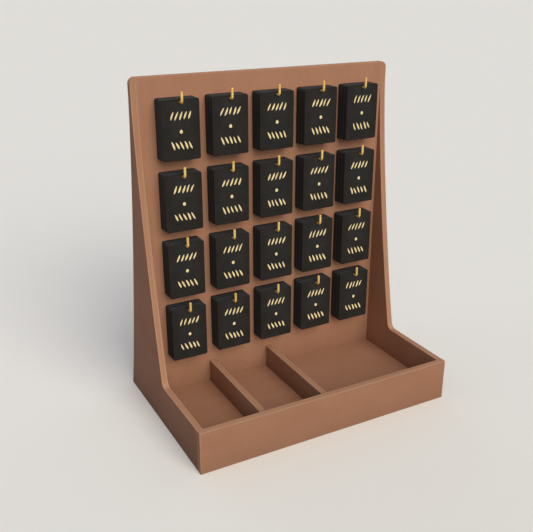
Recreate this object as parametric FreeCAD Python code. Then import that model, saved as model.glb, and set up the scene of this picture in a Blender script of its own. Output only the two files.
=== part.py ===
"""Cardboard display stand with a divided tray and twenty peg hooks of hanging cards.

Lengths are in millimetres. X runs across the stand to the right, Y to the rear, Z up.
The origin is the middle of the footprint, on the table. Everything is placed from the
front face of the upright back panel, which stands at Y = FACE_Y.
"""
import FreeCAD
import Part
import os

# Boards of the stand

STAND_WIDTH = 450.0
STAND_HEIGHT = 540.0
BOARD = 10.0
CORNER_RADIUS = 10.0
TRAY_DEPTH = 200.0
TRAY_HEIGHT = 70.0
FLOOR_RISE = 9.0
DIVIDER_HEIGHT = 40.5
NOTCH_RADIUS = 12.0

# The flare is the curve that widens each side panel towards the table. It is one Bezier
# curve that leaves the back panel upright, a little under its top edge, and reaches the
# table leaning outwards.

FLARE_DROP = 15.0
FLARE_REACH = 81.0
FLARE_FOOT_LEAN = 0.25
FLARE_UPPER_PULL = 0.17
FLARE_LOWER_PULL = 0.34

# Hanging cards. As many columns and rows hang on the back panel as its margins let in.

CARD_WIDTH = 60.0
CARD_HEIGHT = 90.0
CARD_THICKNESS = 8.5
CARD_RADIUS = 3.0
CARD_SPACING = 20.0
SIDE_MARGIN = 20.0
TOP_MARGIN = 31.0
BOTTOM_MARGIN = 15.0
CARDS_BEHIND = 2
CARD_GAP = 0.4
WALL_GAP = 1.6
EYE_STRIP = 2.5

# Peg hooks, bent from round brass wire

WIRE_RADIUS = 2.0
BEND_INSIDE = 1.5
HOOK_RISE = 16.0
HOOK_CLEAR = 4.7
SEAT_FLOOR = 2.0
SEAT_CLEARANCE = 0.05
EYE_CLEARANCE = 0.5
HANG_GAP = 0.05

# Derived places

FOOT_DEPTH = TRAY_DEPTH + 2 * BOARD + FLARE_REACH
FACE_Y = FOOT_DEPTH / 2 - BOARD - FLARE_REACH
REAR_Y = FACE_Y + BOARD
TRAY_FRONT_Y = FACE_Y - TRAY_DEPTH
FRONT_Y = TRAY_FRONT_Y - BOARD
INNER_HALF = STAND_WIDTH / 2 - BOARD
FLOOR_TOP = FLOOR_RISE + BOARD
FLARE_TOP = STAND_HEIGHT - FLARE_DROP
COLUMN_PITCH = CARD_WIDTH + CARD_SPACING
ROW_PITCH = CARD_HEIGHT + CARD_SPACING
ROOM_ACROSS = 2 * (INNER_HALF - SIDE_MARGIN)
ROOM_UPWARDS = STAND_HEIGHT - TOP_MARGIN - TRAY_HEIGHT - BOTTOM_MARGIN
COLUMNS = int((ROOM_ACROSS + CARD_SPACING) / COLUMN_PITCH)
ROWS = int((ROOM_UPWARDS + CARD_SPACING) / ROW_PITCH)
CARD_STEP = CARD_THICKNESS + CARD_GAP
STACK_BACK_Y = FACE_Y - WALL_GAP
STACK_FRONT_Y = STACK_BACK_Y - CARDS_BEHIND * CARD_STEP - CARD_THICKNESS
EYE_RADIUS = WIRE_RADIUS + EYE_CLEARANCE
BEND_RADIUS = WIRE_RADIUS + BEND_INSIDE
NOSE_Y = STACK_FRONT_Y - HOOK_CLEAR - WIRE_RADIUS
SEAT_DEPTH = BOARD - SEAT_FLOOR

RIGHT = FreeCAD.Vector(1, 0, 0)
REARWARD = FreeCAD.Vector(0, 1, 0)
UP = FreeCAD.Vector(0, 0, 1)


def block(x_low, x_high, y_low, y_high, z_low, z_high):
    """A board or block between two corners."""
    corner = FreeCAD.Vector(x_low, y_low, z_low)
    return Part.makeBox(x_high - x_low, y_high - y_low, z_high - z_low, corner)


def edges_along(shape, direction):
    """The straight edges of a shape that run along a direction."""
    return [edge for edge in shape.Edges if abs(edge.tangentAt(edge.FirstParameter).dot(direction)) > 0.99]


def front_outline():
    """The whole stand's outline seen from the front, as a slab as deep as the foot."""
    slab = block(-STAND_WIDTH / 2, STAND_WIDTH / 2, FRONT_Y, FRONT_Y + FOOT_DEPTH, 0, STAND_HEIGHT)
    top_corners = [edge for edge in edges_along(slab, REARWARD) if edge.CenterOfMass.z > FLARE_TOP]
    return slab.makeFillet(CORNER_RADIUS, top_corners)


def flare_curve(start_y, outwards):
    """The flared edge in the side view, from the upright top down to the table."""
    upper_pull = FLARE_UPPER_PULL * FLARE_TOP
    lower_pull = FLARE_LOWER_PULL * FLARE_TOP
    lower_reach = FLARE_REACH - FLARE_FOOT_LEAN * lower_pull
    poles = [
        FreeCAD.Vector(0, start_y, FLARE_TOP),
        FreeCAD.Vector(0, start_y, FLARE_TOP - upper_pull),
        FreeCAD.Vector(0, start_y + outwards * lower_reach, lower_pull),
        FreeCAD.Vector(0, start_y + outwards * FLARE_REACH, 0),
    ]
    curve = Part.BezierCurve()
    curve.setPoles(poles)
    return curve


def crossing(curve, height):
    """The point where a flared edge passes a given height."""
    level = Part.Plane(FreeCAD.Vector(0, 0, height), UP)
    point = curve.intersectCS(level)[0][0]
    return FreeCAD.Vector(point.X, point.Y, point.Z)


def side_panel(x_low):
    """One side board: upright flared wing and the tray's side wall, cut in one piece."""
    front_curve = flare_curve(FACE_Y, -1)
    rear_curve = flare_curve(REAR_Y, 1)
    front_top = FreeCAD.Vector(0, FACE_Y, STAND_HEIGHT)
    rear_top = FreeCAD.Vector(0, REAR_Y, STAND_HEIGHT)
    edges = [
        front_curve.toShape(),
        Part.makeLine(front_curve.EndPoint, rear_curve.EndPoint),
        rear_curve.toShape(),
        Part.makeLine(rear_curve.StartPoint, rear_top),
        Part.makeLine(rear_top, front_top),
        Part.makeLine(front_top, front_curve.StartPoint),
    ]
    outline = Part.Wire(Part.__sortEdges__(edges))
    wing = Part.Face(outline).extrude(RIGHT * BOARD)
    wall = block(0, BOARD, TRAY_FRONT_Y, FACE_Y, 0, TRAY_HEIGHT)
    board = wing.fuse(wall).removeSplitter()
    notch = crossing(front_curve, TRAY_HEIGHT) + RIGHT * (BOARD / 2)
    inner_edge = min(board.Edges, key=lambda edge: edge.CenterOfMass.distanceToPoint(notch))
    board = board.makeFillet(NOTCH_RADIUS, [inner_edge])
    board.translate(RIGHT * x_low)
    return board.common(front_outline())


def back_panel():
    """The upright board between the side panels, with a blind hole for every hook."""
    board = block(-INNER_HALF, INNER_HALF, FACE_Y, REAR_Y, 0, STAND_HEIGHT)
    board = board.common(front_outline())
    seats = []
    for row in range(1, ROWS + 1):
        for column in range(1, COLUMNS + 1):
            mouth = FreeCAD.Vector(column_x(column), FACE_Y, hook_z(row))
            seats.append(Part.makeCylinder(WIRE_RADIUS + SEAT_CLEARANCE, SEAT_DEPTH, mouth, REARWARD))
    return board.cut(seats)


def column_x(column):
    """Middle of a column of cards, counted from the left."""
    return (column - (COLUMNS + 1) / 2) * COLUMN_PITCH


def card_top(row):
    """Top edge of a row of cards, counted from the top."""
    return STAND_HEIGHT - TOP_MARGIN - (row - 1) * ROW_PITCH


def hook_z(row):
    """Height of the hooks' wire where it passes through the cards' eyes."""
    return card_top(row) - EYE_STRIP - HANG_GAP - WIRE_RADIUS


def hook(row, column):
    """An L of round wire: seated in the back panel, through the cards, then straight up."""
    middle = column_x(column)
    height = hook_z(row)
    seat_end = FreeCAD.Vector(middle, FACE_Y + SEAT_DEPTH, height)
    bend_start = FreeCAD.Vector(middle, NOSE_Y + BEND_RADIUS, height)
    bend_end = FreeCAD.Vector(middle, NOSE_Y, height + BEND_RADIUS)
    bend_centre = bend_start + UP * BEND_RADIUS
    outwards = bend_start + bend_end - bend_centre * 2
    bend_middle = bend_centre + outwards.normalize() * BEND_RADIUS
    tip = FreeCAD.Vector(middle, NOSE_Y, height + HOOK_RISE)
    path = Part.Wire([
        Part.makeLine(seat_end, bend_start),
        Part.Arc(bend_start, bend_middle, bend_end).toShape(),
        Part.makeLine(bend_end, tip),
    ])
    section = Part.Wire(Part.makeCircle(WIRE_RADIUS, seat_end, REARWARD))
    return path.makePipeShell([section], True, True)


def card(row, column, back_y):
    """One thick card with rounded corners and an eye that hangs on the hook's wire."""
    middle = column_x(column)
    top = card_top(row)
    half = CARD_WIDTH / 2
    body = block(middle - half, middle + half, back_y - CARD_THICKNESS, back_y, top - CARD_HEIGHT, top)
    body = body.makeFillet(CARD_RADIUS, edges_along(body, REARWARD))
    eye_start = FreeCAD.Vector(middle, back_y - CARD_THICKNESS, top - EYE_STRIP - EYE_RADIUS)
    return body.cut(Part.makeCylinder(EYE_RADIUS, CARD_THICKNESS, eye_start, REARWARD))


def rear_cards(row, column):
    """The cards between the back panel and the front card of one hook."""
    backs = [STACK_BACK_Y - place * CARD_STEP for place in range(CARDS_BEHIND)]
    return Part.makeCompound([card(row, column, back_y) for back_y in backs])


def front_card(row, column):
    """The card that faces the customer."""
    return card(row, column, STACK_FRONT_Y + CARD_THICKNESS)


def divider(middle):
    """A low board across the tray, standing on its floor."""
    half = BOARD / 2
    return block(middle - half, middle + half, TRAY_FRONT_Y, FACE_Y, FLOOR_TOP, FLOOR_TOP + DIVIDER_HEIGHT)


# The centre divider stands in the middle, and the left one halves the room left of it

CENTRE_DIVIDER_X = 0.0
LEFT_DIVIDER_X = (CENTRE_DIVIDER_X - BOARD / 2 - INNER_HALF) / 2

pieces = {
    "back_panel": back_panel(),
    "left_side_panel": side_panel(-STAND_WIDTH / 2),
    "right_side_panel": side_panel(INNER_HALF),
    "front_panel": block(-STAND_WIDTH / 2, STAND_WIDTH / 2, FRONT_Y, TRAY_FRONT_Y, 0, TRAY_HEIGHT),
    "tray_floor": block(-INNER_HALF, INNER_HALF, TRAY_FRONT_Y, FACE_Y, FLOOR_RISE, FLOOR_TOP),
    "left_divider": divider(LEFT_DIVIDER_X),
    "centre_divider": divider(CENTRE_DIVIDER_X),
}

hooks = []
for row in range(1, ROWS + 1):
    for column in range(1, COLUMNS + 1):
        place = f"row{row}_col{column}"
        hooks.append(hook(row, column))
        pieces["front_card_" + place] = front_card(row, column)
        pieces["rear_cards_" + place] = rear_cards(row, column)
pieces["peg_hooks"] = Part.makeCompound(hooks)

os.makedirs("parts", exist_ok=True)
for name, shape in pieces.items():
    shape.exportStep(f"parts/{name}.step")
    box = shape.BoundBox
    print(f"{name}: {len(shape.Solids)} solid(s), valid {shape.isValid()}, volume {shape.Volume:.0f},"
          f" x {box.XMin:.1f} {box.XMax:.1f} y {box.YMin:.1f} {box.YMax:.1f} z {box.ZMin:.1f} {box.ZMax:.1f}")
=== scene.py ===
# %% [markdown]
# # A cardboard display stand with hanging cards
# The real stand is seven flat boards of kraft-faced card, twenty hooks bent from brass wire,
# and sixty thick dark cards that hang three to a hook. The CAD model already has every board,
# hook and card in its true place, so this lesson only gives them the surfaces and finishes
# that the eye expects: softened board edges, rounded card rims, drawn wire and paint.
# Each kind of piece is one surface of two parameters, worked out with numpy from the box of
# the CAD node that it stands for, so nothing has to be fitted by hand.

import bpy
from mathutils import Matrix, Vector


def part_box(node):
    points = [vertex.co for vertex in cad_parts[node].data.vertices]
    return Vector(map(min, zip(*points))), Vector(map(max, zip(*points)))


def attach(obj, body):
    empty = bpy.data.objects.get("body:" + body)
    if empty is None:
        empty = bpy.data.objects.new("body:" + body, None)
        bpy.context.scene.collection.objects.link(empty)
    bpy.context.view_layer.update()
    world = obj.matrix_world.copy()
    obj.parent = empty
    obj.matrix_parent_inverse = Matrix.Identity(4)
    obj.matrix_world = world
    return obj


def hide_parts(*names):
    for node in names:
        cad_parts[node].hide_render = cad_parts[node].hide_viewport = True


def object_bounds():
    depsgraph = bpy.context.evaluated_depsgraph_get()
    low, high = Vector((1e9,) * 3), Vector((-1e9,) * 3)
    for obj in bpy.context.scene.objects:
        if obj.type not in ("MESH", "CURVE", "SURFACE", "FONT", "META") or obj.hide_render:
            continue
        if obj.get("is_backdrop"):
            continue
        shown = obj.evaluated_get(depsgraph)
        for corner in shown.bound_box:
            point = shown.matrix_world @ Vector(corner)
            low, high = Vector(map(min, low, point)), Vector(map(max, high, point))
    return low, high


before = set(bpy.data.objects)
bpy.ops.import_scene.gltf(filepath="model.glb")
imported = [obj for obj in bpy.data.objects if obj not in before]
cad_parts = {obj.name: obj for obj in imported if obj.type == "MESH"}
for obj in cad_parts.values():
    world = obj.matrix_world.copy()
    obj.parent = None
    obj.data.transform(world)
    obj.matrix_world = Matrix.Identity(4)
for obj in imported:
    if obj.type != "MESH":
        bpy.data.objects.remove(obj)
cad_low, cad_high = (list(corner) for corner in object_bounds())
print("CAD nodes:", len(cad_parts), "box from", cad_low, "to", cad_high)

# %% Units and boxes
import math

import bpy
import numpy as np

MM = 0.001
X, Y, Z = 0, 1, 2


def node_box(name):
    """Lowest and highest corner of a CAD node as numpy arrays, in metres."""
    low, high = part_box(name)
    return np.array(low), np.array(high)


back_low, back_high = node_box("back_panel")
print("back panel is", np.round((back_high - back_low) / MM, 1), "mm")

# %% [markdown]
# ## The camera
# The stand was photographed from its front left, a little above. The lines that run across
# it, along its depth and upright meet in three vanishing points, and those fix the lens and
# the turn of the camera. A 50 mm lens on a 36 mm sensor fits them, with no roll and no shift.

# %% Camera
CAMERA_PLACE = (-0.5615, -0.9770, 0.6778)
CAMERA_TURN = (68.40, 0.0, -28.28)

camera_data = bpy.data.cameras.new("camera")
camera_data.lens = 50.0
camera_data.sensor_width = 36.0
camera = bpy.data.objects.new("camera", camera_data)
camera.location = CAMERA_PLACE
camera.rotation_euler = [math.radians(angle) for angle in CAMERA_TURN]
bpy.context.scene.collection.objects.link(camera)
bpy.context.scene.camera = camera
print("camera stands", round(float(np.linalg.norm(CAMERA_PLACE)), 3), "m from the origin")

# %% [markdown]
# ## Colours and nodes
# Colours are easiest to pick and compare as sRGB hex values, but a shader works on linear
# light, so one function turns them. One more small function adds a node with its settings
# and its links. Every material below is written with these two.

# %% Colour and node helpers
def linear(hex_colour):
    """sRGB hex to linear light: c / 12.92 for small c, otherwise ((c + 0.055) / 1.055) to the power 2.4."""
    srgb = np.array([int(hex_colour[place:place + 2], 16) for place in (1, 3, 5)]) / 255
    light = np.where(srgb <= 0.04045, srgb / 12.92, ((srgb + 0.055) / 1.055) ** 2.4)
    return (*light.tolist(), 1.0)


def add_node(tree, kind, inputs=None, **settings):
    """Adds one node. inputs gives each socket, by name or number, a value or another node's output."""
    node = tree.nodes.new(kind)
    for key, value in settings.items():
        setattr(node, key, value)
    for key, value in (inputs or {}).items():
        if isinstance(value, bpy.types.NodeSocket):
            tree.links.new(value, node.inputs[key])
        else:
            node.inputs[key].default_value = value
    return node


def new_material(name):
    """An empty node material, and its tree."""
    material = bpy.data.materials.new(name)
    material.use_nodes = True
    material.node_tree.nodes.clear()
    return material, material.node_tree


print("kraft brown in linear light:", np.round(linear("#a87c62"), 3))

# %% [markdown]
# ## Kraft-faced board
# The boards are solid greyboard laminated with unbleached kraft paper. The paper is made on
# a running wire, so its fibres lie mostly one way: up the back panel and along the tray.
# The eye reads three things: a soft cloudiness some 50 mm across, faint long streaks, and
# short fibres and dark bark flecks. The cut edge shows thin plies, and every corner is
# rubbed a little paler. The faces near the table and down in the tray get painted shade, a
# darkening that fades out upwards: a per-point attribute says how much painted shade a board
# takes, and its cut edges take none. The pattern follows the attribute "sheet", a place on the
# board's own sheet, so each board has its own grain and one material serves them all.

# %% Kraft board material
CLOUD_SIZE = 50 * MM
STREAK_WIDTH, STREAK_LENGTH = 7 * MM, 420 * MM
# Real fibres are about 0.03 mm wide and 3 mm long. They are drawn coarser so that they show.
FIBRE_WIDTH, FIBRE_LENGTH = 0.9 * MM, 9 * MM
FLECK_WIDTH, FLECK_LENGTH = 1.4 * MM, 4 * MM
PLY, PLY_RUN = 1.1 * MM, 167 * MM
FIBRE_RELIEF = 0.06 * MM
CLOUD_SHARE, STREAK_SHARE, FIBRE_SHARE = 0.50, 0.22, 0.28
FLECK_STRENGTH, CUT_STRENGTH, RUB_STRENGTH = 0.25, 0.75, 0.55
# Painted shade: how high the darkening near the table reaches, and how dark it gets.
SHADE_HEIGHT, SHADE_DEPTH = 38 * MM, 0.26

kraft, tree = new_material("kraft_faced_board")
sheet = add_node(tree, "ShaderNodeAttribute", attribute_name="sheet").outputs["Vector"]
wear_and_painted_light = add_node(tree, "ShaderNodeAttribute", attribute_name="wear_and_painted_light").outputs["Fac"]
cut = add_node(tree, "ShaderNodeAttribute", attribute_name="cut").outputs["Fac"]
painted_shade = add_node(tree, "ShaderNodeAttribute", attribute_name="painted_shade").outputs["Fac"]


def sheet_noise(across, along, detail, place):
    """Noise whose grains are across metres wide and along metres long on the sheet."""
    scaled = add_node(place, "ShaderNodeVectorMath",
                      {0: sheet, 1: (1 / across, 1 / along, 1 / across)}, operation="MULTIPLY")
    noise = add_node(place, "ShaderNodeTexNoise",
                     {"Vector": scaled.outputs[0], "Scale": 1.0, "Detail": detail, "Roughness": 0.55})
    return noise.outputs["Fac"]


clouds = sheet_noise(CLOUD_SIZE, CLOUD_SIZE * 1.4, 3.0, tree)
streaks = sheet_noise(STREAK_WIDTH, STREAK_LENGTH, 2.0, tree)
fibres = sheet_noise(FIBRE_WIDTH, FIBRE_LENGTH, 2.0, tree)
flecks = sheet_noise(FLECK_WIDTH, FLECK_LENGTH, 0.0, tree)

blend = add_node(tree, "ShaderNodeMath", {0: clouds, 1: CLOUD_SHARE}, operation="MULTIPLY").outputs[0]
blend = add_node(tree, "ShaderNodeMath", {0: streaks, 1: STREAK_SHARE, 2: blend},
                 operation="MULTIPLY_ADD").outputs[0]
blend = add_node(tree, "ShaderNodeMath", {0: fibres, 1: FIBRE_SHARE, 2: blend},
                 operation="MULTIPLY_ADD").outputs[0]
paper = add_node(tree, "ShaderNodeValToRGB", {"Fac": blend})
paper.color_ramp.elements[0].position = 0.32
paper.color_ramp.elements[0].color = linear("#a6765a")
paper.color_ramp.elements[1].position = 0.68
paper.color_ramp.elements[1].color = linear("#b07f62")

fleck_mask = add_node(tree, "ShaderNodeMapRange",
                      {"Value": flecks, "From Min": 0.72, "From Max": 0.78,
                       "To Min": 0.0, "To Max": FLECK_STRENGTH})
flecked = add_node(tree, "ShaderNodeMix",
                   {0: fleck_mask.outputs[0], 6: paper.outputs["Color"], 7: linear("#83593f")},
                   data_type="RGBA")

plies = add_node(tree, "ShaderNodeVectorMath", {0: sheet, 1: (1 / PLY_RUN, 1 / PLY_RUN, 1 / PLY)},
                 operation="MULTIPLY")
ply_noise = add_node(tree, "ShaderNodeTexNoise",
                     {"Vector": plies.outputs[0], "Scale": 1.0, "Detail": 1.0})
ply_shade = add_node(tree, "ShaderNodeMapRange",
                     {"Value": ply_noise.outputs["Fac"], "From Min": 0.35, "From Max": 0.65,
                      "To Min": 0.0, "To Max": 1.0})
edge_colour = add_node(tree, "ShaderNodeMix",
                       {0: ply_shade.outputs[0], 6: linear("#a6785b"), 7: linear("#b68768")},
                       data_type="RGBA")
cut_share = add_node(tree, "ShaderNodeMath", {0: cut, 1: CUT_STRENGTH}, operation="MULTIPLY")
with_edges = add_node(tree, "ShaderNodeMix",
                      {0: cut_share.outputs[0], 6: flecked.outputs[2], 7: edge_colour.outputs[2]},
                      data_type="RGBA")
rub_break = add_node(tree, "ShaderNodeMath", {0: wear_and_painted_light, 1: clouds}, operation="MULTIPLY")
rub_share = add_node(tree, "ShaderNodeMath", {0: rub_break.outputs[0], 1: RUB_STRENGTH},
                     operation="MULTIPLY")
rubbed = add_node(tree, "ShaderNodeMix",
                  {0: rub_share.outputs[0], 6: with_edges.outputs[2], 7: linear("#c39b7a")},
                  data_type="RGBA")

# Painted shade: the colour is darkened towards the table by each board's own amount, and not on the cut
# edges.
height = add_node(tree, "ShaderNodeSeparateXYZ",
                  {0: add_node(tree, "ShaderNodeTexCoord").outputs["Object"]}).outputs["Z"]
fade = add_node(tree, "ShaderNodeMath", {0: height, 1: -1 / SHADE_HEIGHT}, operation="MULTIPLY")
low_shade = add_node(tree, "ShaderNodeMath", {0: math.e, 1: fade.outputs[0]}, operation="POWER")
low_shade = add_node(tree, "ShaderNodeMath", {0: low_shade.outputs[0], 1: painted_shade}, operation="MULTIPLY")
not_cut = add_node(tree, "ShaderNodeMath", {0: 1.0, 1: cut}, operation="SUBTRACT")
low_shade = add_node(tree, "ShaderNodeMath", {0: low_shade.outputs[0], 1: not_cut.outputs[0]}, operation="MULTIPLY")
low_shade = add_node(tree, "ShaderNodeMath", {0: low_shade.outputs[0], 1: SHADE_DEPTH}, operation="MULTIPLY")
with_painted_shade = add_node(tree, "ShaderNodeMix",
                   {0: low_shade.outputs[0], 6: rubbed.outputs[2], 7: linear("#1e1a1d")}, data_type="RGBA")

relief = add_node(tree, "ShaderNodeBump", {"Height": fibres, "Strength": 0.5, "Distance": FIBRE_RELIEF})
board_gloss = add_node(tree, "ShaderNodeMapRange",
                       {"Value": blend, "From Min": 0.3, "From Max": 0.7, "To Min": 0.92, "To Max": 0.80})
board_shader = add_node(tree, "ShaderNodeBsdfPrincipled",
                        {"Base Color": with_painted_shade.outputs[2], "Roughness": board_gloss.outputs[0],
                         "IOR": 1.46, "Specular IOR Level": 0.2, "Normal": relief.outputs[0]})
add_node(tree, "ShaderNodeOutputMaterial", {"Surface": board_shader.outputs[0]})
print("kraft board:", len(tree.nodes), "nodes")

# %% [markdown]
# ## Black-dyed card
# The cards are thick card dyed black through and left uncoated. That gives a warm near-black
# that stays matt and never quite black. Painted light makes their sides a paler bluish grey and
# draws thin painted highlight lines on the rims, most on the spare cards; inside the eye the card
# is worn a little paler. Both come from the same attribute as the boards' rubbed wear.
# A fine tooth of fibres breaks up the reflection.

# %% Dark card material
# The real tooth of such card is about 0.1 mm. It is drawn at 0.7 mm so that it shows.
TOOTH = 0.7 * MM
TOOTH_RELIEF = 0.05 * MM
DYE_CLOUD = 18 * MM
TOOTH_STRENGTH, EDGE_LIGHT_STRENGTH = 0.25, 0.45

dark_card, tree = new_material("black_dyed_card")
place = add_node(tree, "ShaderNodeTexCoord").outputs["Object"]
wear_and_painted_light = add_node(tree, "ShaderNodeAttribute", attribute_name="wear_and_painted_light").outputs["Fac"]
tooth = add_node(tree, "ShaderNodeTexNoise", {"Vector": place, "Scale": 1 / TOOTH, "Detail": 2.0})
dye = add_node(tree, "ShaderNodeTexNoise", {"Vector": place, "Scale": 1 / DYE_CLOUD, "Detail": 3.0})
dye_colour = add_node(tree, "ShaderNodeValToRGB", {"Fac": dye.outputs["Fac"]})
dye_colour.color_ramp.elements[0].position = 0.30
dye_colour.color_ramp.elements[0].color = linear("#22201c")
dye_colour.color_ramp.elements[1].position = 0.70
dye_colour.color_ramp.elements[1].color = linear("#2a2623")
tooth_share = add_node(tree, "ShaderNodeMapRange",
                       {"Value": tooth.outputs["Fac"], "From Min": 0.52, "From Max": 0.78,
                        "To Min": 0.0, "To Max": TOOTH_STRENGTH})
toothed = add_node(tree, "ShaderNodeMix",
                   {0: tooth_share.outputs[0], 6: dye_colour.outputs["Color"], 7: linear("#38342f")},
                   data_type="RGBA")
# Painted light: the card is mixed towards a pale bluish grey over its rims and sides, where light catches
# them; inside the eye the same value stands for wear.
edge_light_share = add_node(tree, "ShaderNodeMath", {0: wear_and_painted_light, 1: EDGE_LIGHT_STRENGTH}, operation="MULTIPLY")
card_colour = add_node(tree, "ShaderNodeMix",
                       {0: edge_light_share.outputs[0], 6: toothed.outputs[2], 7: linear("#5a5d60")},
                       data_type="RGBA")
relief = add_node(tree, "ShaderNodeBump",
                  {"Height": tooth.outputs["Fac"], "Strength": 0.5, "Distance": TOOTH_RELIEF})
card_gloss = add_node(tree, "ShaderNodeMapRange",
                      {"Value": tooth.outputs["Fac"], "To Min": 0.78, "To Max": 0.92})
card_shader = add_node(tree, "ShaderNodeBsdfPrincipled",
                       {"Base Color": card_colour.outputs[2], "Roughness": card_gloss.outputs[0],
                        "IOR": 1.48, "Specular IOR Level": 0.15, "Normal": relief.outputs[0]})
add_node(tree, "ShaderNodeOutputMaterial", {"Surface": card_shader.outputs[0]})
print("dark card:", len(tree.nodes), "nodes")

# %% [markdown]
# ## Cream gouache
# The marks on the cards are brushed in cream gouache, a thick matt paint. It covers the black
# fully in the middle of a stroke and thins a little in patches, where the card's tooth shows.

# %% Cream paint material
PAINT_PATCH = 2.5 * MM
PAINT_RELIEF = 0.05 * MM

cream_paint, tree = new_material("cream_gouache_paint")
place = add_node(tree, "ShaderNodeTexCoord").outputs["Object"]
patches = add_node(tree, "ShaderNodeTexNoise", {"Vector": place, "Scale": 1 / PAINT_PATCH, "Detail": 2.0})
paint_colour = add_node(tree, "ShaderNodeValToRGB", {"Fac": patches.outputs["Fac"]})
paint_colour.color_ramp.elements[0].position = 0.30
paint_colour.color_ramp.elements[0].color = linear("#ecd296")
paint_colour.color_ramp.elements[1].position = 0.62
paint_colour.color_ramp.elements[1].color = linear("#fbe6ac")
relief = add_node(tree, "ShaderNodeBump",
                  {"Height": patches.outputs["Fac"], "Strength": 0.4, "Distance": PAINT_RELIEF})
paint_shader = add_node(tree, "ShaderNodeBsdfPrincipled",
                        {"Base Color": paint_colour.outputs["Color"], "Roughness": 0.7,
                         "Normal": relief.outputs[0]})
add_node(tree, "ShaderNodeOutputMaterial", {"Surface": paint_shader.outputs[0]})
print("cream paint:", len(tree.nodes), "nodes")

# %% [markdown]
# ## Lacquered brass wire
# The hooks are brass wire, drawn through a die, tumbled and dipped in a satin lacquer. Drawing
# leaves fine lines along the wire. The lacquer holds a little scattered colour of its own, so
# the hooks look gold from every side, also where bare metal would only mirror the dark card
# behind it. The lines follow the attribute "wire": distance along the wire and round it.

# %% Brass material
# Real drawing lines are some 0.05 mm apart. They are drawn 0.4 mm apart so that they show.
DRAW_LINE = 0.4 * MM
DRAW_LENGTH = 12 * MM
LINE_RELIEF = 0.02 * MM
DULL_PATCH = 6 * MM

brass, tree = new_material("satin_lacquered_brass_wire")
wire = add_node(tree, "ShaderNodeAttribute", attribute_name="wire").outputs["Vector"]
line_place = add_node(tree, "ShaderNodeVectorMath",
                      {0: wire, 1: (1 / DRAW_LENGTH, 1 / DRAW_LINE, 1.0)}, operation="MULTIPLY")
lines = add_node(tree, "ShaderNodeTexNoise", {"Vector": line_place.outputs[0], "Scale": 1.0, "Detail": 1.0})
place = add_node(tree, "ShaderNodeTexCoord").outputs["Object"]
dulling = add_node(tree, "ShaderNodeTexNoise", {"Vector": place, "Scale": 1 / DULL_PATCH, "Detail": 2.0})
brass_colour = add_node(tree, "ShaderNodeValToRGB", {"Fac": dulling.outputs["Fac"]})
brass_colour.color_ramp.elements[0].position = 0.30
brass_colour.color_ramp.elements[0].color = linear("#e8b052")
brass_colour.color_ramp.elements[1].position = 0.65
brass_colour.color_ramp.elements[1].color = linear("#fad67c")
brass_gloss = add_node(tree, "ShaderNodeMapRange",
                       {"Value": dulling.outputs["Fac"], "From Min": 0.3, "From Max": 0.7,
                        "To Min": 0.42, "To Max": 0.30})
relief = add_node(tree, "ShaderNodeBump",
                  {"Height": lines.outputs["Fac"], "Strength": 0.25, "Distance": LINE_RELIEF})
brass_shader = add_node(tree, "ShaderNodeBsdfPrincipled",
                        {"Base Color": brass_colour.outputs["Color"], "Metallic": 0.22,
                         "Roughness": brass_gloss.outputs[0], "Normal": relief.outputs[0]})
add_node(tree, "ShaderNodeOutputMaterial", {"Surface": brass_shader.outputs[0]})
print("brass:", len(tree.nodes), "nodes")

# %% [markdown]
# ## From grids of points to meshes
# All the pieces are rings of points: a profile carried round a board's outline, round a
# card's eye or along a wire. So one function joins neighbouring rings with quads, one closes
# the ends, and one makes sure that the faces look outwards. It adds up the signed volume of
# the faces: if the sum is negative the surface is inside out, and every face is reversed.

# %% Mesh helpers
def ring_quads(rings, around, joined=False):
    """Quads between each ring and the next, and from the last ring to the first if joined."""
    ring = np.arange(rings if joined else rings - 1)[:, None]
    step = np.arange(around)[None, :]
    here, ahead = ring * around, (ring + 1) % rings * around
    after = (step + 1) % around
    return np.stack([here + step, here + after, ahead + after, ahead + step], axis=-1).reshape(-1, 4)


def end_caps(rings, around):
    """The two many-sided faces that close the first and the last ring."""
    first = np.arange(around)[::-1]
    last = (rings - 1) * around + np.arange(around)
    return [first.tolist(), last.tolist()]


def signed_volume(points, faces):
    """Sum over the faces, each cut into a fan of triangles a b c, of a . (b x c) / 6."""
    total = 0.0
    for count in sorted({len(face) for face in faces}):
        corners = points[np.array([face for face in faces if len(face) == count])]
        first = corners[:, :1]
        total += np.sum(first * np.cross(corners[:, 1:-1], corners[:, 2:])) / 6
    return total


def facing_outwards(points, faces):
    """The same faces, reversed if the closed surface was inside out."""
    centred = points - points.mean(axis=0)
    return faces if signed_volume(centred, faces) > 0 else [face[::-1] for face in faces]


SHARP_FROM = math.radians(35)


def make_piece(name, points, faces, finishes, nodes, attributes, finish_of_face=None):
    """A finished piece: its mesh in place, its materials, its attributes and the nodes it stands for."""
    mesh = bpy.data.meshes.new(name)
    mesh.from_pydata(points.tolist(), [], faces)
    for label, values in attributes.items():
        vector = values.ndim == 2
        layer = mesh.attributes.new(label, "FLOAT_VECTOR" if vector else "FLOAT", "POINT")
        layer.data.foreach_set("vector" if vector else "value", values.astype(np.float32).ravel())
    for finish in finishes:
        mesh.materials.append(finish)
    if finish_of_face is not None:
        mesh.polygons.foreach_set("material_index", finish_of_face)
    mesh.shade_smooth()
    mesh.set_sharp_from_angle(angle=SHARP_FROM)
    mesh.validate()
    piece = bpy.data.objects.new(name, mesh)
    bpy.context.scene.collection.objects.link(piece)
    evened = piece.modifiers.new("even_shading", "WEIGHTED_NORMAL")
    evened.keep_sharp = True
    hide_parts(*nodes)
    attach(piece, "root")
    return piece


print("a tube of 3 rings of 4 points has", len(ring_quads(3, 4)), "quads")

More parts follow.
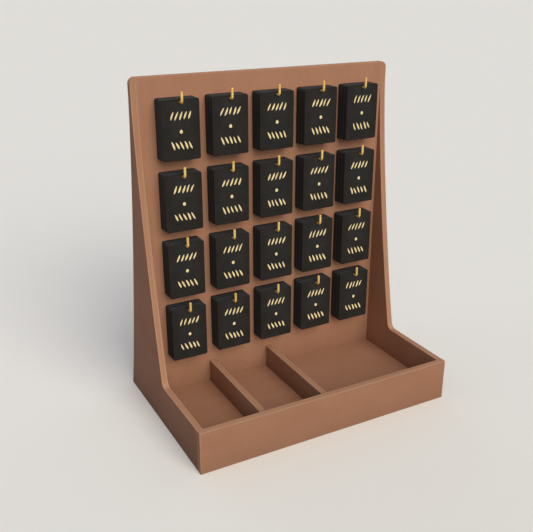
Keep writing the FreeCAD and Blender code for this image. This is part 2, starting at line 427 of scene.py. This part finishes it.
# %% [markdown]
# ## Boards
# A board is cut from a flat sheet, so it is its outline, carried through its thickness. A
# knife-cut edge is never quite sharp: it is crushed round by about half a millimetre. A
# Bevel modifier could do that, but here the rounding is a profile that is carried round the
# outline, which also gives each point its wear and tells the material where the cut edge is.

# %% Board profile
EDGE_ROUND = 0.5 * MM
RUBBED_BAND = 2.5 * MM

turn = np.linspace(0, math.pi / 2, 5)
past_edge = np.array([0.5, 1.2, 2.5, 3.8]) * MM
profile_depth = np.concatenate([[0], EDGE_ROUND * (1 - np.cos(turn)), EDGE_ROUND + past_edge])
profile_inset = np.concatenate([[EDGE_ROUND + RUBBED_BAND], EDGE_ROUND * (1 - np.sin(turn)), np.zeros(4)])
profile_wear = np.concatenate([[0], np.ones(5), np.clip(1 - past_edge / RUBBED_BAND, 0, 1)])
profile_cut = np.array([0, 0, 0.25, 0.5, 0.75, 1, 1, 1, 1, 1])


def through_thickness(values, mirrored=None):
    """The profile's values from one face to the other. mirrored says how the second half counts."""
    second = values[::-1] if mirrored is None else mirrored - values[::-1]
    return np.concatenate([values, second])


def inward_mitres(outline):
    """Which way each corner of an anticlockwise outline moves when the outline shrinks by one unit:
    the sum of its two inward edge normals, divided by one plus their dot product."""
    along = np.roll(outline, -1, axis=0) - outline
    along /= np.linalg.norm(along, axis=1, keepdims=True)
    normal_after = np.stack([-along[:, 1], along[:, 0]], axis=1)
    normal_before = np.roll(normal_after, 1, axis=0)
    overlap = np.sum(normal_before * normal_after, axis=1, keepdims=True)
    return (normal_before + normal_after) / (1 + overlap)


print("rings through a board:", 2 * len(profile_depth))

# %% Board surface
board_rng = np.random.default_rng(11)
# Each board's sheet is cut from its own place on a roll, up to this far from the roll's middle.
ROLL_REACH = 3.0


def make_board(name, node, outline, across, up, through, painted_shade, lowered=None, grain=(0, 1, 2)):
    """A board on the axes across and up, as thick as its node's box along through.
    P(ring, corner) = outline(corner) + inset(ring) * mitre(corner), at depth(ring), where lowered,
    if given, says how far each corner of a ring at that depth comes down. The pair after through is
    how much painted shade the board takes at its front and at its rear, and it changes evenly between the
    two."""
    low, high = node_box(node)
    thickness = high[through] - low[through]
    depth = through_thickness(profile_depth, mirrored=thickness)
    inset = through_thickness(profile_inset)
    flat = outline[None] + inset[:, None, None] * inward_mitres(outline)[None]
    points = np.empty((len(depth), len(outline), 3))
    points[..., across] = flat[..., 0]
    points[..., up] = flat[..., 1]
    points[..., through] = low[through] + depth[:, None]
    if lowered is not None:
        points[..., up] -= lowered(points)
    points = points.reshape(-1, 3)
    quads = ring_quads(len(depth), len(outline)).tolist()
    faces = facing_outwards(points, quads + end_caps(len(depth), len(outline)))
    order = [(across, up, through)[axis] for axis in grain]
    return make_piece(name, points, faces, [kraft], [node], {
        "sheet": points[:, order] + board_rng.uniform(-ROLL_REACH, ROLL_REACH, 3) * (1, 1, 0),
        "wear_and_painted_light": np.repeat(through_thickness(profile_wear), len(outline)),
        "cut": np.repeat(through_thickness(profile_cut), len(outline)),
        "painted_shade": np.interp(points[:, Y], (low[Y], high[Y]), painted_shade),
    })


def rectangle(node, across, up):
    """The outline of a node's box on two axes, anticlockwise."""
    low, high = node_box(node)
    return np.array([(low[across], low[up]), (high[across], low[up]),
                     (high[across], high[up]), (low[across], high[up])])


# Each row gives, after the axes, how much painted shade the board takes at its front and at its rear: the
# dividers down in the tray take the most.
for name, node, across, up, through, painted_shade, grain in (
        ("back_board", "back_panel", X, Z, Y, (1.8, 1.8), (0, 1, 2)),
        ("front_board", "front_panel", X, Z, Y, (0.8, 0.8), (1, 0, 2)),
        ("floor_board", "tray_floor", X, Y, Z, (0.0, 0.9), (1, 0, 2)),
        ("left_divider_board", "left_divider", Y, Z, X, (2.6, 3.1), (1, 0, 2)),
        ("centre_divider_board", "centre_divider", Y, Z, X, (2.6, 3.1), (1, 0, 2))):
    board = make_board(name, node, rectangle(node, across, up), across, up, through, painted_shade, grain=grain)
    print(board.name, len(board.data.polygons), "faces")

# %% [markdown]
# ## Side panels
# Each side is one board: an upright wing that flares towards the table, and the tray's wall
# in front of it. The flare is one Bezier curve for the front edge and its mirror image for
# the rear edge. Where the front edge meets the wall's top, the corner is filled by an arc.
# Seen from the front, the wing's top outer corner is rounded over, so the top edge comes
# down along a circle through the board's thickness.

# %% Flare and side outline
CORNER_RADIUS = 10 * MM
FLARE_DROP = 15 * MM
WALL_TOP = node_box("front_panel")[1][Z]
FLARE_REACH = cad_high[Y] - back_high[Y]
NOTCH_RADIUS = 12 * MM
# How much of the height the flare stays upright, how high its lower pole is, and its lean there.
FLARE_UPPER_PULL, FLARE_LOWER_PULL, FLARE_FOOT_LEAN = 0.17, 0.34, 0.25
FLARE_POINTS = 44
FINE_POINTS = 4001
NOTCH_POINTS = 8

outer_x, stand_top = cad_high[X], cad_high[Z]
arc_centre_x, arc_centre_z = outer_x - CORNER_RADIUS, stand_top - CORNER_RADIUS
flare_top = stand_top - FLARE_DROP


def top_line(x):
    """Height of the stand's top edge at x: level, then round the corner's circle."""
    past = np.clip(np.abs(x) - arc_centre_x, 0, CORNER_RADIUS)
    return arc_centre_z + np.sqrt(CORNER_RADIUS ** 2 - past ** 2)


def flare(share):
    """How far out and how high the flared edge is, at shares of its way down:
    the cubic Bezier of four poles, from the upright top to the table."""
    lower = FLARE_LOWER_PULL * flare_top
    poles = np.array([(0, flare_top), (0, flare_top * (1 - FLARE_UPPER_PULL)),
                      (FLARE_REACH - FLARE_FOOT_LEAN * lower, lower), (FLARE_REACH, 0)])
    rest = 1 - share
    weights = np.stack([rest ** 3, 3 * rest ** 2 * share, 3 * rest * share ** 2, share ** 3], axis=1)
    return weights @ poles


fine = flare(np.linspace(0, 1, FINE_POINTS))
slope = np.gradient(fine[:, 0], fine[:, 1])
# The notch arc touches the wall's top and the flare: its centre is one radius from both.
lean = np.sqrt(1 + slope ** 2)
centres = fine + NOTCH_RADIUS * np.stack([1 / lean, -slope / lean], axis=1)
touch = int(np.argmin(np.abs(centres[:, 1] - (WALL_TOP + NOTCH_RADIUS))))
notch_centre, notch_start = centres[touch], fine[touch]
print("notch arc starts", np.round(notch_start / MM, 1), "centre", np.round(notch_centre / MM, 1))

# %% Side panels
shares = np.linspace(0, 1, FLARE_POINTS + 1)[1:]
rear_edge = flare(shares)
front_edge = flare(shares[rear_edge[:, 1] > notch_start[1]])
start_angle = math.atan2(*(notch_start - notch_centre)[::-1])
angles = np.linspace(start_angle % (2 * math.pi), 1.5 * math.pi, NOTCH_POINTS)
notch = notch_centre + NOTCH_RADIUS * np.stack([np.cos(angles), np.sin(angles)], axis=1)
face_y, rear_y = back_low[Y], back_high[Y]
wall_front_y = node_box("left_side_panel")[0][Y]

in_front = np.concatenate([front_edge, notch]) * (-1, 1) + (face_y, 0)
side_outline = np.concatenate([
    [(wall_front_y, 0.0)],
    rear_edge[::-1] + (rear_y, 0),
    [(rear_y, stand_top), (face_y, stand_top)],
    in_front,
    [(wall_front_y, WALL_TOP)],
])


def under_top_line(points):
    """How far a side panel's two top corners come down at each depth: to the rounded top line."""
    at_top = points[..., Z] > flare_top
    return np.where(at_top, stand_top - top_line(points[..., X]), 0.0)


for name, node in (("left_side_board", "left_side_panel"), ("right_side_board", "right_side_panel")):
    side = make_board(name, node, side_outline, Y, Z, X, (1.8, 1.8), lowered=under_top_line)
    print(side.name, len(side.data.polygons), "faces")

# %% [markdown]
# ## Cards
# A card is a thick slab with rounded corners and an eye near its top edge. Seen from the
# middle of the eye, every direction meets the outline once, so the whole surface can be one
# closed profile carried round the eye: through the eye, out over the front, round the rim,
# along the side, back over the rear, and into the eye again. It needs no caps and no holes
# have to be cut. The rim is rounded by almost a millimetre, as a die-cut edge is.

# %% Card surface
CARD_RADIUS = 3 * MM
RIM_ROUND = 0.9 * MM
EYE_ROUND = 0.3 * MM
EYE_STRIP = 2.5 * MM
EYE_RADIUS = 2.5 * MM


def card_directions(half_width, below, above):
    """Directions from the eye's middle: evenly spread ones, and seven over each rounded corner."""
    even = np.linspace(-math.pi, math.pi, 33)[:-1]
    arc = np.linspace(0, math.pi / 2, 7)
    centre_x = half_width - CARD_RADIUS
    corners = [np.arctan2(height + side * CARD_RADIUS * np.sin(arc),
                          across * (centre_x + CARD_RADIUS * np.cos(arc)))
               for side, height in ((1, above - CARD_RADIUS), (-1, CARD_RADIUS - below))
               for across in (1, -1)]
    return np.unique(np.round(np.concatenate([even, *corners]), 6))


def outline_reach(directions, half_width, below, above):
    """How far the rounded outline is from the eye's middle in each direction: read off a fine copy."""
    arc = np.linspace(0, math.pi / 2, 200)
    centre_x = half_width - CARD_RADIUS
    spots = []
    for side, height in ((1, above - CARD_RADIUS), (-1, CARD_RADIUS - below)):
        for across in (1, -1):
            spots.append(np.stack([across * (centre_x + CARD_RADIUS * np.cos(arc)),
                                   height + side * CARD_RADIUS * np.sin(arc)], axis=1))
    edge = np.linspace(-1, 1, 1500)
    spots.append(np.stack([edge * centre_x, np.full_like(edge, above)], axis=1))
    spots.append(np.stack([edge * centre_x, np.full_like(edge, -below)], axis=1))
    upright = np.linspace(CARD_RADIUS - below, above - CARD_RADIUS, 1500)
    spots.append(np.stack([np.full_like(upright, half_width), upright], axis=1))
    spots.append(np.stack([np.full_like(upright, -half_width), upright], axis=1))
    spots = np.concatenate(spots)
    facing = np.arctan2(spots[:, 1], spots[:, 0])
    order = np.argsort(facing)
    return np.interp(directions, facing[order], np.linalg.norm(spots, axis=1)[order], period=2 * math.pi)


card_low, card_high = node_box("front_card_row1_col1")
half_width = (card_high[X] - card_low[X]) / 2
above = EYE_STRIP + EYE_RADIUS
below = card_high[Z] - card_low[Z] - above
directions = card_directions(half_width, below, above)
reach = outline_reach(directions, half_width, below, above)
card_outline = reach[:, None] * np.stack([np.cos(directions), np.sin(directions)], axis=1)
print("a card has", len(directions), "directions round its eye")

# %% Card profile
card_thickness = card_high[Y] - card_low[Y]
rim_depth = RIM_ROUND * (1 - np.cos(turn))
rim_inset = RIM_ROUND * (1 - np.sin(turn))
# Rings from the eye outwards: how deep, how far from the eye's edge (0) to the rim's start (1),
# how far inside the outline, and how pale: worn paler inside the eye, and painted light over the
# rim and on the side. The spare cards' rims get the most painted light, as highlight lines
# between the cards.
half_depth = np.concatenate([[EYE_ROUND, 0, 0], rim_depth])
half_share = np.concatenate([[0, 0, 0.86], np.ones(5)])
half_eye = EYE_RADIUS + EYE_ROUND * np.array([0, 1, 1, 0, 0, 0, 0, 0])
half_inset = np.concatenate([[RIM_ROUND] * 3, rim_inset])
printed_wear_and_edge_light = np.array([0.4, 0.2, 0, 0, 0.05, 0.1, 0.2, 0.35])
spare_wear_and_edge_light = np.array([0.4, 0.2, 0, 0.6, 1, 1, 0.9, 0.35])


def card_points(middle_x, front_y, eye_z):
    """P(ring, direction) = eye edge + share * (outline drawn in by inset - eye edge), at its depth."""
    share, inset, eye_radius = (through_thickness(half)[:, None, None]
                                for half in (half_share, half_inset, half_eye))
    shrunk = card_outline[None] + inset * inward_mitres(card_outline)[None]
    eye = eye_radius * np.stack([np.cos(directions), np.sin(directions)], axis=1)[None]
    flat = eye + share * (shrunk - eye)
    depth = through_thickness(half_depth, mirrored=card_thickness)
    y = np.broadcast_to(front_y + depth[:, None], flat.shape[:2])
    return np.stack([middle_x + flat[..., 0], y, eye_z + flat[..., 1]], axis=-1).reshape(-1, 3)


card_rings = 2 * len(half_depth)
card_quads = ring_quads(card_rings, len(directions), joined=True)
printed_wear_and_edge_light, spare_wear_and_edge_light = (np.repeat(through_thickness(half), len(directions))
                            for half in (printed_wear_and_edge_light, spare_wear_and_edge_light))
print("a card has", len(card_quads), "faces")

# %% [markdown]
# ## Brushed marks
# The front cards carry plain brushed marks: a row of slanting strokes, a dot of paint, and a
# second row that slants the other way. A loaded brush leaves a stroke that swells quickly,
# thins towards its end and stands a little proud, so a stroke is a flattened tube whose width
# follows that swelling. Small turns and lengths are drawn at random with a fixed seed, so that
# no two cards are quite alike.

# %% Brush strokes
STROKE_LENGTH = 12.5 * MM
STROKE_HALF_WIDTH = 1.35 * MM
PAINT_PROUD = 0.16 * MM
PAINT_SUNK = 0.06 * MM
STROKES_IN_ROW = 5
STROKE_PITCH = 6.9 * MM
ROW_DROPS = (23.5 * MM, 46.5 * MM, 67.5 * MM)
SLANT = math.radians(24)
DOT_LENGTH, DOT_HALF_WIDTH = 5.6 * MM, 2.5 * MM
# How far a stroke strays by chance: in length and width as a share, in height, bow and slant.
LOOSE_LENGTH, LOOSE_WIDTH = 0.10, 0.12
LOOSE_DROP, LOOSE_BOW, LOOSE_SLANT = 0.5 * MM, 0.5 * MM, math.radians(5)

along = np.linspace(0, 1, 8)
around = np.linspace(0, 2 * math.pi, 9)[:-1]
swelling = np.maximum(np.sin(math.pi * along) ** 0.45 * (1.12 - 0.3 * along), 0.16)
brush_rng = np.random.default_rng(7)


def strokes(centre_x, centre_z, front_y, length, half_width, angle, bend):
    """Flattened tubes, one for each entry of the arrays: along the brushed line, the half width times
    the swelling to each side, proud of the card in front and sunk into it behind."""
    run = (along[None] - 0.5) * length[:, None]
    bow = bend[:, None] * (1 - (2 * along[None] - 1) ** 2)
    wide = half_width[:, None, None] * swelling[None, :, None] * np.cos(around)
    lift = np.where(np.sin(around) > 0, PAINT_PROUD, PAINT_SUNK) * np.sin(around)
    lift = lift * np.minimum(swelling, 1)[None, :, None] ** 0.5
    side_x, side_z = np.cos(angle)[:, None, None], -np.sin(angle)[:, None, None]
    run_x, run_z = np.sin(angle)[:, None, None], np.cos(angle)[:, None, None]
    off = wide + bow[:, :, None]
    x = centre_x[:, None, None] + run[:, :, None] * run_x + off * side_x
    z = centre_z[:, None, None] + run[:, :, None] * run_z + off * side_z
    y = np.broadcast_to(front_y - lift, x.shape)
    return np.stack([x, y, z], axis=-1)


def card_marks(middle_x, front_y, top_z):
    """All strokes of one card as one array of tubes: two slanting rows and the dot between them."""
    spread = (np.arange(STROKES_IN_ROW) - (STROKES_IN_ROW - 1) / 2) * STROKE_PITCH
    centre_x = np.concatenate([spread, spread, [0.0]]) + middle_x
    drop = np.repeat(ROW_DROPS, (STROKES_IN_ROW, 0, STROKES_IN_ROW))
    centre_z = top_z - np.concatenate([drop, [ROW_DROPS[1]]])
    slant = SLANT * np.concatenate([np.ones(STROKES_IN_ROW), -np.ones(STROKES_IN_ROW), [0.0]])
    count = len(centre_x)
    loose = brush_rng.uniform(-1, 1, (4, count))
    length = STROKE_LENGTH * (1 + LOOSE_LENGTH * loose[0])
    half_width = STROKE_HALF_WIDTH * (1 + LOOSE_WIDTH * loose[1])
    length[-1], half_width[-1] = DOT_LENGTH, DOT_HALF_WIDTH
    return strokes(centre_x, centre_z + LOOSE_DROP * loose[2], np.full((1, 1, 1), front_y), length,
                   half_width, slant + LOOSE_SLANT * loose[3], LOOSE_BOW * loose[1])


stroke_faces = ring_quads(len(along), len(around)).tolist() + end_caps(len(along), len(around))
print("a stroke has", len(stroke_faces), "faces")

# %% Front and rear cards
for row in range(1, 5):
    for column in range(1, 6):
        spot = f"row{row}_col{column}"
        low, high = node_box("front_card_" + spot)
        middle_x, eye_z = (low[X] + high[X]) / 2, high[Z] - above
        body = card_points(middle_x, low[Y], eye_z)
        body_faces = facing_outwards(body, card_quads.tolist())
        tubes = card_marks(middle_x, low[Y], high[Z])
        points, faces, count = [body], list(body_faces), len(body)
        for tube in tubes.reshape(len(tubes), -1, 3):
            points.append(tube)
            faces += [[corner + count for corner in face] for face in facing_outwards(tube, stroke_faces)]
            count += len(tube)
        wear_and_painted_light = np.concatenate([printed_wear_and_edge_light, np.zeros(count - len(body))])
        painted = np.arange(len(faces)) >= len(body_faces)
        make_piece("printed_card_" + spot, np.concatenate(points), faces, [dark_card, cream_paint],
                   ["front_card_" + spot], {"wear_and_painted_light": wear_and_painted_light}, painted.astype(np.int32))

        low, high = node_box("rear_cards_" + spot)
        stack = [card_points(middle_x, y, eye_z) for y in (low[Y], high[Y] - card_thickness)]
        stack_faces = [[corner + place * len(body) for corner in face]
                       for place in range(2) for face in body_faces]
        make_piece("spare_cards_" + spot, np.concatenate(stack), stack_faces, [dark_card],
                   ["rear_cards_" + spot], {"wear_and_painted_light": np.tile(spare_wear_and_edge_light, 2)})
print("front card of", len(faces), "faces, rear pair of", len(stack_faces))

# %% [markdown]
# ## Hooks
# Each hook is an L of round wire: it comes out of the back panel, passes through the eyes of
# three cards, bends and ends upright. The wire is a circle carried along that path, and its
# sawn tip is rounded over. All twenty hooks are worked out in one go, by adding their places
# to the same path.

# %% Brass hooks
WIRE_RADIUS = 2 * MM
BEND_RADIUS = 3.5 * MM
HOOK_RISE = 16 * MM
TIP_ROUND = 0.9 * MM
HANG_GAP = 0.05 * MM
STRAIGHT_END = 8 * MM

hook_low, hook_high = node_box("peg_hooks")
nose_y = hook_low[Y] + WIRE_RADIUS
seat_y = hook_high[Y]
bend = np.linspace(0, math.pi / 2, 9)
tip = np.linspace(0, math.pi / 2, 5)[1:]

path_y = np.concatenate([[seat_y, nose_y + BEND_RADIUS + STRAIGHT_END],
                         nose_y + BEND_RADIUS * (1 - np.sin(bend)), np.full(5, nose_y)])
path_z = np.concatenate([[0, 0], BEND_RADIUS * (1 - np.cos(bend)),
                         [HOOK_RISE - TIP_ROUND], HOOK_RISE - TIP_ROUND * (1 - np.sin(tip))])
heading = np.concatenate([[0, 0], bend, np.full(5, math.pi / 2)])
radius = np.concatenate([np.full(12, WIRE_RADIUS), WIRE_RADIUS - TIP_ROUND * (1 - np.cos(tip))])

WIRE_SIDES = 20
round_wire = np.linspace(0, 2 * math.pi, WIRE_SIDES + 1)[:-1]
off_x = radius[:, None] * np.cos(round_wire)
off_out = radius[:, None] * np.sin(round_wire)
one_hook = np.stack([off_x,
                     path_y[:, None] + off_out * np.sin(heading)[:, None],
                     path_z[:, None] + off_out * np.cos(heading)[:, None]], axis=-1)
length_along = np.concatenate([[0], np.cumsum(np.hypot(np.diff(path_y), np.diff(path_z)))])
print("wire in one hook:", round(length_along[-1] / MM, 1), "mm")

# %% Twenty hooks in one mesh
# Each hook's lines start this much further along, so that no two hooks are scratched alike.
LINE_STEP = 0.11
places = []
for row in range(1, 5):
    for column in range(1, 6):
        low, high = node_box(f"front_card_row{row}_col{column}")
        places.append(((low[X] + high[X]) / 2, 0.0, high[Z] - EYE_STRIP - HANG_GAP - WIRE_RADIUS))
places = np.array(places)
hooks = (one_hook.reshape(1, -1, 3) + places[:, None]).reshape(-1, 3)
rings = len(path_y)
hook_faces = ring_quads(rings, WIRE_SIDES).tolist() + end_caps(rings, WIRE_SIDES)
hook_faces = facing_outwards(one_hook.reshape(-1, 3), hook_faces)
faces = [[corner + place * rings * WIRE_SIDES for corner in face]
         for place in range(len(places)) for face in hook_faces]
wire_map = np.stack([np.repeat(length_along, WIRE_SIDES),
                     np.tile(round_wire * WIRE_RADIUS, rings), np.zeros(rings * WIRE_SIDES)], axis=1)
wire_map = (wire_map[None] + np.arange(len(places))[:, None, None] * LINE_STEP).reshape(-1, 3)
wire_hooks = make_piece("wire_hooks", hooks, faces, [brass], ["peg_hooks"], {"wire": wire_map})
print(wire_hooks.name, len(wire_hooks.data.polygons), "faces")

# %% [markdown]
# ## Floor and background
# The stand is shown on a plain pale floor that runs to the horizon and meets a world of the
# same tone. The camera and reflections see the pale tone. The light that the floor throws
# back up on the stand is kept low, because the photographed stand has dark lower edges.

# %% Floor
FLOOR_HALF = 40.0

floor_material, tree = new_material("pale_studio_floor")
ray = add_node(tree, "ShaderNodeLightPath").outputs
seen = add_node(tree, "ShaderNodeMath", {0: ray["Is Camera Ray"], 1: ray["Is Glossy Ray"]},
                operation="MAXIMUM").outputs[0]
seen = add_node(tree, "ShaderNodeMath", {0: seen, 1: ray["Is Transmission Ray"]},
                operation="MAXIMUM").outputs[0]
floor_tone = add_node(tree, "ShaderNodeMix", {0: seen, 6: linear("#3a3836"), 7: linear("#f5f0e5")},
                      data_type="RGBA")
floor_shader = add_node(tree, "ShaderNodeBsdfDiffuse", {"Color": floor_tone.outputs[2]})
add_node(tree, "ShaderNodeOutputMaterial", {"Surface": floor_shader.outputs[0]})

corners = FLOOR_HALF * np.array([(-1, -1, 0), (1, -1, 0), (1, 1, 0), (-1, 1, 0)], float)
floor_mesh = bpy.data.meshes.new("studio_floor")
floor_mesh.from_pydata(corners.tolist(), [], [[0, 1, 2, 3]])
floor_mesh.materials.append(floor_material)
studio_floor = bpy.data.objects.new("studio_floor", floor_mesh)
bpy.context.scene.collection.objects.link(studio_floor)
studio_floor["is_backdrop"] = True
print("floor", 2 * FLOOR_HALF, "m wide")

# %% [markdown]
# ## Light
# The stand is lit softly from the front and above, with only weak light on its sides. Wide
# sun lamps give that: their light is the same over the whole floor, and their shadows are
# soft. Two of them, one low and one high, stand for one tall soft box. Weak cool ones from
# the rear and its two sides lift the sides and the back, as a window behind the stand would.
# The world fills in from all round. The strengths add up to about one on a board that faces
# the front, so a colour renders about as it is written.

# %% World and lamps
WORLD_FILL = 0.27
FILL_TINT = (0.93, 0.97, 1.14, 1.0)
WARM, COOL = (1.0, 0.985, 0.94), (0.80, 0.95, 1.34)
LAMPS = (
    # name, tint, strength, width in degrees, how far round from the front, how high
    ("soft_box_low", WARM, 1.42, 50, 0, 20),
    ("soft_box_high", WARM, 1.53, 50, 0, 45),
    ("left_rear_lift", COOL, 0.30, 40, -110, 12),
    ("right_rear_lift", COOL, 0.30, 40, 110, 12),
    ("rear_lift", COOL, 0.75, 60, 180, 6),
)

world = bpy.data.worlds.new("studio_world")
world.use_nodes = True
tree = world.node_tree
tree.nodes.clear()
ray = add_node(tree, "ShaderNodeLightPath").outputs
seen = add_node(tree, "ShaderNodeMath", {0: ray["Is Camera Ray"], 1: ray["Is Glossy Ray"]},
                operation="MAXIMUM").outputs[0]
seen = add_node(tree, "ShaderNodeMath", {0: seen, 1: ray["Is Transmission Ray"]},
                operation="MAXIMUM").outputs[0]
fill = add_node(tree, "ShaderNodeBackground", {"Color": FILL_TINT, "Strength": WORLD_FILL})
pale = add_node(tree, "ShaderNodeBackground", {"Color": linear("#e0ddd9"), "Strength": 1.0})
either = add_node(tree, "ShaderNodeMixShader", {0: seen, 1: fill.outputs[0], 2: pale.outputs[0]})
add_node(tree, "ShaderNodeOutputWorld", {"Surface": either.outputs[0]})
bpy.context.scene.world = world

for name, tint, strength, width, round_from_front, height in LAMPS:
    lamp_data = bpy.data.lights.new(name, "SUN")
    lamp_data.energy = strength
    lamp_data.color = tint
    lamp_data.angle = math.radians(width)
    lamp = bpy.data.objects.new(name, lamp_data)
    lamp.rotation_euler = (math.radians(90 - height), 0, math.radians(round_from_front))
    bpy.context.scene.collection.objects.link(lamp)
    print(name, "from", round_from_front, "degrees round and", height, "up")

# %% [markdown]
# ## Finish
# The view transform is Standard, so that colours are shown as they are.

# %% Finish
bpy.context.scene.view_settings.view_transform = "Standard"
